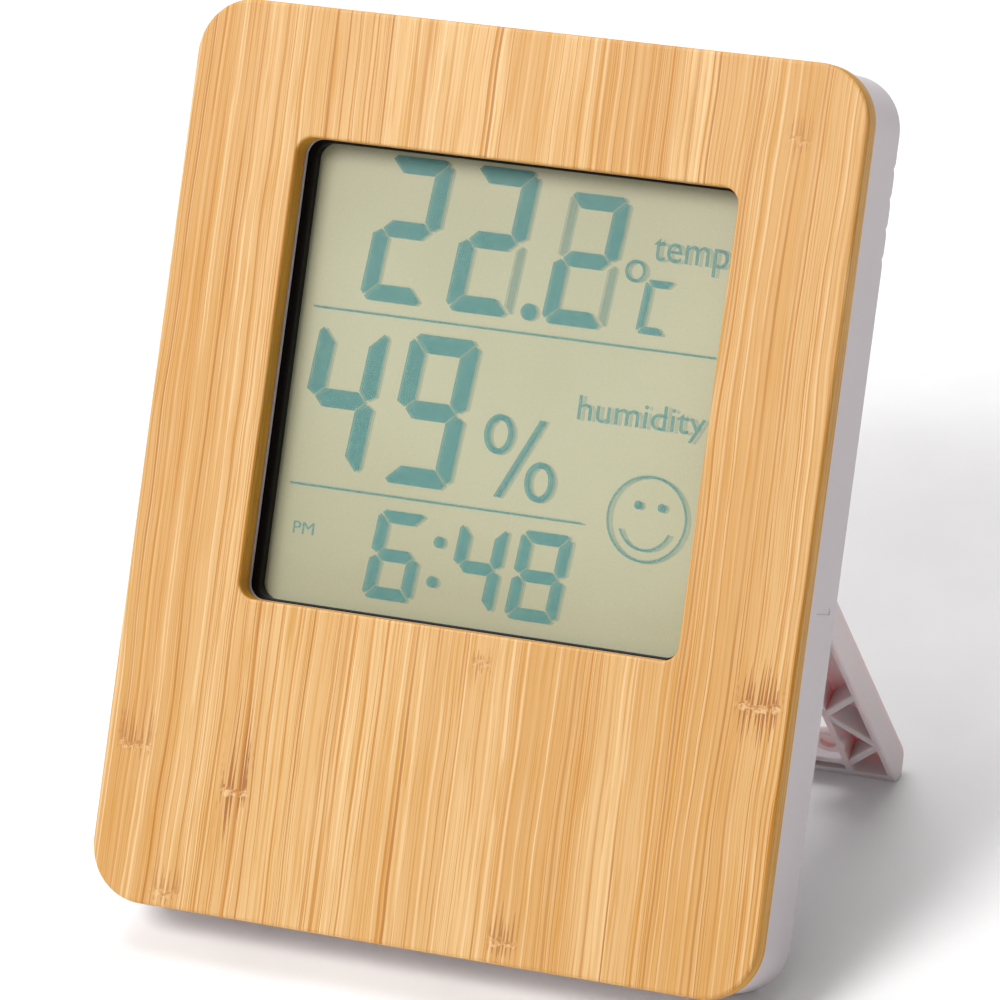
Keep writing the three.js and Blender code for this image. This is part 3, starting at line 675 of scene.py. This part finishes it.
def stand_piece():
    outer, inner, under, half = (STAND[key] for key in ("outer", "inner", "under", "half"))
    flange, wall, toe, seat = LEG["flange"], LEG["wall"], -LEG["toe"], LEG["inner"] - 0.1
    stand = slab("stand_frame", stand_outline(), -half, half, 0.45, 0.45, across=True)
    window = rounded(-LEG["inner"], -LEG["bar"], LEG["inner"], -LEG["head"], 1.2)
    lips = [(outer + 1, inset(window, -0.4))]
    lips += [(outer - depth, inset(window, -amount)) for depth, amount in fillet(0.4)]
    lips += [(inner + depth, inset(window, -amount)) for depth, amount in reversed(fillet(0.3))]
    lips += [(inner - 1, inset(window, -0.3))]
    hub = [(-STAND["hub"] - 1, rounded(-wall, -4, wall, 5, 0.5)), (inner, rounded(-wall, -4, wall, 5, 0.5))]
    cut(
        stand,
        loft("cutter", lips),
        loft("cutter", hub),
        punch(rounded(flange, toe, wall, 5, 0.5), inner, under, 0.2, 0.3),
        punch(rounded(-wall, toe, -flange, 5, 0.5), inner, under, 0.2, 0.3),
        punch(rounded(-LEG["inner"], toe, LEG["inner"], -LEG["bar"] - 1, 0.4), inner, under, 0.2, 0.2),
        punch(rounded(-flange, -LEG["head"] - 0.1, flange, 5, 0.5), inner, under, 0.1, 0.2),
        punch(rounded(-flange, 0.6, flange, 5, 0.5), inner, outer + 1),
        punch(rounded(-seat, -LEG["head"] - 1.5, seat, -LEG["head"] + 1, 0.3), inner, 0.4),
    )
    radius, rear = BOSS["radius"], BOSS["rear"]
    spots = [(side * BOSS["x"], BOSS["z"]) for side in (1, -1)]
    join(
        stand,
        *[rib(side * 44.4, start, side * 38.7, end) for side in (1, -1) for start, end in RIBS],
        *[knob("boss", radius, inner, rear, 0.3, 0.2, x=x, z=z) for x, z in spots],
        *[crossbar(side * 45.35 - 0.55, side * 45.35 + 0.55, 0, 0, 1.7, 0.2) for side in (1, -1)],
    )
    cut(stand, *[punch(circle(x, z, BOSS["bore"]), inner, rear - 0.6, 0.2) for x, z in spots])
    smooth(cut(stand, table(STAND_FRAME)))
    place(stand, "stand", stand_white, ["stand"], STAND_FRAME)


# ---- back: buttons, battery door and screws ----
def triangle(x, z, size, way):
    """A triangle that points up the case or down it."""
    points = [(x + size, z - way * size * 0.6), (x, z + way * size), (x - size, z - way * size * 0.6)]
    return points if way > 0 else points[::-1]


def button(name, x):
    z, rear, radius, stem, flange = (BUTTON[key] for key in ("z", "rear", "radius", "stem", "flange"))
    profile = [(stem, BUTTON["front"]), (stem, 10.3), (flange, 10.3), (flange, 10.85), (radius, 10.85)]
    profile += [(radius - amount, rear - 0.18 - depth) for depth, amount in reversed(fillet(0.45))]
    profile += [(1.7, rear - 0.05), (0.8, rear - 0.01)]
    cap = turned(f"{name}_cap", profile, x, z)
    marks = {
        "mode": punch(circle(x, z, 1.0), rear, rear - 0.25, 0.05),
        "up": punch(triangle(x, z, 1.2, 1), rear, rear - 0.25, 0.05),
        "down": punch(triangle(x, z, 1.2, -1), rear, rear - 0.25, 0.05),
        "unit": punch(rounded(x - 1.3, z - 0.35, x + 1.3, z + 0.35, 0.34), rear, rear - 0.25, 0.05),
    }
    chosen = marks.pop(name)
    for other in marks.values():
        bpy.data.objects.remove(other)
    smooth(cut(cap, chosen))
    place(cap, f"{name}_button", white, [f"{name}_button"])


def battery_door():
    x, z = CELL["x"], CELL["z"]
    radius, rear = DOOR["radius"], DOOR["rear"]
    door = slab("battery_cover", circle(x, z, radius, 96), DOOR["front"], rear, 0.1, 0.25)
    cut(door, punch(circle(x, z, CELL["bore"] + 0.3, 96), DOOR["front"], rear - 1.0, 0.1, 0.2))
    lugs = [sector(radius - 0.5, DOOR["lug"], middle, 36) for middle in (0, 180)]
    join(door, *[slab("lug", loop, 11.05, 11.55, 0.08, 0.08) for loop in lugs])
    cut(door, punch(rounded(x - 6, z - 0.9, x + 6, z + 0.9, 0.85), rear, rear - 0.5, 0.15, 0.1))
    place(smooth(door), "battery_door", white, ["battery_door"])


def screw(name, node, x, z, radius, front, rear, tip):
    """A pan-head screw with a cross recess."""
    profile = [(0.5, tip), (0.85, tip + 0.5), (0.85, front), (radius, front)]
    profile += [(radius - amount, rear - depth) for depth, amount in reversed(fillet(0.35))]
    made = turned(name, profile, x, z, 40)
    arms = [(1.1, 0.25), (0.25, 1.1)]
    cross = [rounded(x - half_x, z - half_z, x + half_x, z + half_z, 0.1, 3) for half_x, half_z in arms]
    smooth(cut(made, *[punch(loop, rear, rear - 0.5, 0.06) for loop in cross]))
    place(made, "case", hidden["steel"], [node])


def screws():
    for i, (x, z) in enumerate(CASE_SCREWS):
        screw(f"top_screw_{i + 1}", f"case_screw_{i + 1}", x, z, 2.0, 11.6, 12.4, 6)
    for i, (x, z) in enumerate(FLOOR_SCREWS):
        screw(f"floor_screw_{i + 1}", f"case_screw_{i + 3}", x, z, 1.9, 5.9, 6.9, 3.8)


# ---- display ----
def bezel_ring():
    half, lap, side, end = (BEZEL[key] for key in ("half", "lap", "side", "end"))
    low, high = WINDOW["bottom"], WINDOW["top"]
    front, rear = BEZEL["front"], BEZEL["rear"]
    ring = slab("bezel_ring", rounded(-half, low - lap, half, high + lap, 2.2), front, rear, 0.1, 0.1)
    sight = WINDOW["half"] - side
    hole = rounded(-sight, low + end, sight, high - end, 2.2)
    smooth(cut(ring, punch(hole, front, rear + 1, 0.15)))
    place(ring, "case", black, ["display_bezel"])


def film():
    sheet = rounded(-FILM["half"], FILM["bottom"], FILM["half"], FILM["top"], 0.4)
    made = smooth(slab("display_face", sheet, FILM["front"], FILM["rear"], 0.03, 0.03))
    place(made, "case", film_face(), ["lcd_front_polarizer"], keep_local=True)


def segments(width, height, stroke):
    """The bars of a digit as outlines before slanting, by their usual letters, and an unbroken left bar."""
    w, h, t = width, height, stroke
    m, c, k = h / 2, 0.5 * stroke, 0.3 * stroke
    d = c / 2
    upper = {
        "a": [(t, h - t), (w - t, h - t), (w - d, h - d), (w - c, h), (c, h), (d, h - d)],
        "b": [(w - t, m + t / 2), (w - t / 2, m), (w, m + k), (w, h - c), (w - d, h - d), (w - t, h - t)],
        "f": [(t, m + t / 2), (t, h - t), (d, h - d), (0, h - c), (0, m + k), (t / 2, m)],
    }
    flip = {"a": "d", "b": "c", "f": "e"}
    lower = {flip[key]: [(u, h - v) for u, v in reversed(loop)] for key, loop in upper.items()}
    bar = [(t / 2, m), (t, m - t / 2), (w - t, m - t / 2), (w - t / 2, m), (w - t, m + t / 2), (t, m + t / 2)]
    whole = [(t, t), (t, h - t), (d, h - d), (0, h - c), (0, c), (d, d)]
    return {**upper, **lower, "g": bar, "left": whole}


LIT = {"C": ["a", "left", "d"], "2": "abged", "4": "fgbc", "9": "abcdfg", "6": "acdefg", "8": "abcdefg"}
SLANT = 0.095
GAP = 0.13


def digit(shown, x, z, width, height, stroke, lit=None):
    """Outlines of a slanted digit's bars."""
    bars = segments(width + 2 * GAP, height + 2 * GAP, stroke + 2 * GAP)
    loops = []
    for key in LIT[shown] if lit is None else lit:
        loop = inset(bars[key], GAP)
        loops.append([(x + u - GAP + SLANT * (v - GAP), z + v - GAP) for u, v in loop])
    return loops


def oval(x, z, half_x, half_z, thick=0.0):
    """A disc, or a ring as an outer and an inner loop."""
    outer = [(x + half_x * u, z + half_z * v) for u, v in circle(0, 0, 1, 40)]
    if not thick:
        return [outer]
    inner = [(x + (half_x - thick) * u, z + (half_z - thick) * v) for u, v in circle(0, 0, 1, 40)]
    return [outer, inner]


def plates(name, loops, rings, front, rear):
    """Many thin plates in one mesh: filled loops, and rings between two loops."""
    points, faces = [], []
    for loop in loops:
        base, count = len(points), len(loop)
        points += [(x, front, z) for x, z in loop] + [(x, rear, z) for x, z in loop]
        faces += [tuple(range(base, base + count)), tuple(range(base + count, base + 2 * count))]
        for i in range(count):
            j = (i + 1) % count
            faces.append((base + i, base + j, base + count + j, base + count + i))
    for outer, inner in rings:
        base, count = len(points), len(outer)
        for depth in (front, rear):
            points += [(x, depth, z) for x, z in outer] + [(x, depth, z) for x, z in inner]
        for i in range(count):
            j = (i + 1) % count
            rows = [base, base + count, base + 3 * count, base + 2 * count]
            for first, second in zip(rows, rows[1:] + rows[:1]):
                faces.append((first + i, first + j, second + j, second + i))
    return mesh_object(name, points, faces)


def words(text, x0, x1, baseline, ascender, depth):
    """Plain lettering as a mesh, fitted between two ends and two heights."""
    letters = bpy.data.curves.new("letters", "FONT")
    letters.body = text
    letters.extrude = 0.5
    holder = bpy.data.objects.new("letters", letters)
    bpy.context.scene.collection.objects.link(holder)
    graph = bpy.context.evaluated_depsgraph_get()
    graph.update()
    mesh = bpy.data.meshes.new_from_object(holder.evaluated_get(graph))
    bpy.data.objects.remove(holder)
    xs = [v.co.x for v in mesh.vertices]
    top = max(v.co.y for v in mesh.vertices)
    for v in mesh.vertices:
        x = x0 + (x1 - x0) * (v.co.x - min(xs)) / (max(xs) - min(xs))
        z = baseline + (ascender - baseline) * v.co.y / top
        v.co = Vector((x, depth + v.co.z * 0.02, z)) * MM
    return mesh


def display_marks():
    """(filled loops, rings, faint loops) of everything the display shows."""
    loops = digit("2", -22.1, 22.6, 9.2, 19.1, 2.2) + digit("2", -9.75, 22.6, 9.2, 19.1, 2.2)
    loops += digit("2", 4.0, 22.6, 8.7, 17.15, 2.0)
    loops += digit("4", -28.8, -0.55, 9.9, 19.65, 2.4) + digit("9", -15.7, -0.55, 9.9, 19.65, 2.4)
    for shown, x, width in (("6", -16.15, 6.95), ("4", -4.35, 6.75), ("8", 4.3, 7.2)):
        loops += digit(shown, x, -15.7, width, 11.6, 1.6)
    for x, z, radius in ((2.15, 23.7, 1.1), (-6.1, -7.3, 0.75), (-6.4, -12.49, 0.75)):
        loops += oval(x, z, radius, radius)
    loops.append([(1.1 - 0.45, -0.45), (1.1 + 0.45, -0.45), (6.3 + 0.45, 10.05), (6.3 - 0.45, 10.05)])
    loops.append([(-28.4, 20.78), (28.9, 20.78), (28.9, 21.02), (-28.4, 21.02)])
    loops.append([(-28.4, -2.42), (13.5, -2.42), (13.5, -2.18), (-28.4, -2.18)])
    loops += digit("C", 17.3, 22.8, 4.1, 7.0, 0.95)
    rings = [oval(16.28, 30.64, 1.45, 1.45, 0.4)]
    rings += [oval(0.28, 7.6, 2.06, 2.6, 0.75), oval(6.8, 2.15, 2.06, 2.6, 0.75)]
    rings.append(oval(22.4, -0.6, 5.6, 5.6, 0.3))
    loops += oval(20.95, 1.07, 0.55, 0.55) + oval(24.25, 1.07, 0.55, 0.55)
    loops.append(arc(22.3, -0.95, 3.8, 200, 340, 20) + arc(22.3, -0.95, 3.5, 340, 200, 20))
    faint = digit("2", 4.0, 22.6, 8.7, 17.15, 1.3, "fc") + digit("2", -9.75, 22.6, 9.2, 19.1, 1.3, "c")
    return loops, rings, faint


def shift(loop, dx, dz):
    return [(x + dx, z + dz) for x, z in loop]


def display_ink():
    """The lit bars, with soft shadow copies of them just behind on the film."""
    loops, rings, faint = display_marks()
    front = FILM["front"]
    text = [("temp", 18.4, 28.9, 32.3, 35.2), ("humidity", 10.9, 28.8, 10.85, 14.0)]
    text.append(("PM", -27.1, -24.1, -8.8, -7.2))
    teal = ink("ink_teal", srgb(50, 134, 134), 0.42)
    shade = ink("ink_shadow", srgb(66, 126, 118), 0.13)
    layers = [
        ("ink_bars", 0.0, 0.0, 0.10, teal, text),
        ("ink_shadow_1", 0.3, -0.04, 0.07, shade, []),
        ("ink_shadow_2", 0.6, -0.08, 0.04, shade, text[:2]),
    ]
    for name, dx, dz, depth, finish, shown in layers:
        made = plates(
            name,
            [shift(loop, dx, dz) for loop in loops + (faint if dx else [])],
            [[shift(outer, dx, dz), shift(inner, dx, dz)] for outer, inner in rings],
            front - depth - 0.008,
            front - depth,
        )
        made.visible_shadow = False
        place(made, "case", finish, keep_local=True)
        for word, x0, x1, low, high in shown:
            mesh = words(word, x0 + dx, x1 + dx, low + dz, high + dz, front - depth)
            letters = bpy.data.objects.new(f"{name}_{word}", mesh)
            bpy.context.scene.collection.objects.link(letters)
            letters.visible_shadow = False
            place(letters, "case", finish, keep_local=True)


# ---- build ----
bamboo_plate()
case_shell()
stand_piece()
bezel_ring()
film()
display_ink()
battery_door()
screws()
for button_name, button_x in BUTTONS.items():
    button(button_name, button_x)
for node_object in frame["nodes"].values():
    slot_name = node_object.data.materials[0].name.split(".")[0]
    node_object.data.materials.clear()
    node_object.data.materials.append(hidden[slot_name])

# ---- floor, light and camera ----
floor = slab("floor", rounded(-3000, -3000, 3000, 3000, 5, 2), 0.0, 20.0)
floor.data.transform(Matrix.Translation((0, 0, -20 * MM)) @ Matrix.Rotation(math.radians(90), 4, "X"))
floor.data.materials.append(plastic("floor_white", srgb(250, 250, 250), 0.9, 0.0))

world = bpy.data.worlds.new("studio")
bpy.context.scene.world = world
world.use_nodes = True
sky = world.node_tree.nodes
toward = sky.new("ShaderNodeTexCoord")
parts = sky.new("ShaderNodeSeparateXYZ")
fade = sky.new("ShaderNodeMapRange")
fade.interpolation_type = "SMOOTHSTEP"
for socket, value in zip(fade.inputs, (0.0, -0.4, 0.6, 0.62, 0.22)):
    socket.default_value = value
sky["Background"].inputs["Color"].default_value = (1.0, 0.985, 0.98, 1.0)
world.node_tree.links.new(toward.outputs["Generated"], parts.inputs[0])
world.node_tree.links.new(parts.outputs[0], fade.inputs[0])
world.node_tree.links.new(fade.outputs[0], sky["Background"].inputs["Strength"])


def lamp(name, power, size, spot, aim=(0, 0, 0.05)):
    data = bpy.data.lights.new(name, "AREA")
    data.energy = power
    data.size = size
    made = bpy.data.objects.new(name, data)
    made.location = spot
    made.rotation_euler = (Vector(aim) - Vector(spot)).to_track_quat("-Z", "Y").to_euler()
    bpy.context.scene.collection.objects.link(made)


lamp("key", 10.8, 0.5, (-0.5, -0.62, 1.1))
lamp("top", 9.0, 0.9, (-0.25, 0.55, 1.25), (0.1, 0.05, 0.0))

camera = bpy.data.objects.new("camera", bpy.data.cameras.new("camera"))
camera.data.lens = 259.03
camera.data.sensor_width = 36
camera.data.clip_start = 0.05
sight_right = Vector((0.9025, 0.4045, -0.1482)).normalized()
sight_back = -Vector((-0.4112, 0.7065, -0.5760)).normalized()
sight_up = sight_back.cross(sight_right)
camera.matrix_world = (
    Matrix.Translation((0.38257, -0.65544, 0.58327))
    @ Matrix((sight_right, sight_up, sight_back)).transposed().to_4x4()
)
bpy.context.scene.collection.objects.link(camera)
bpy.context.scene.camera = camera
bpy.context.scene.view_settings.view_transform = "Standard"
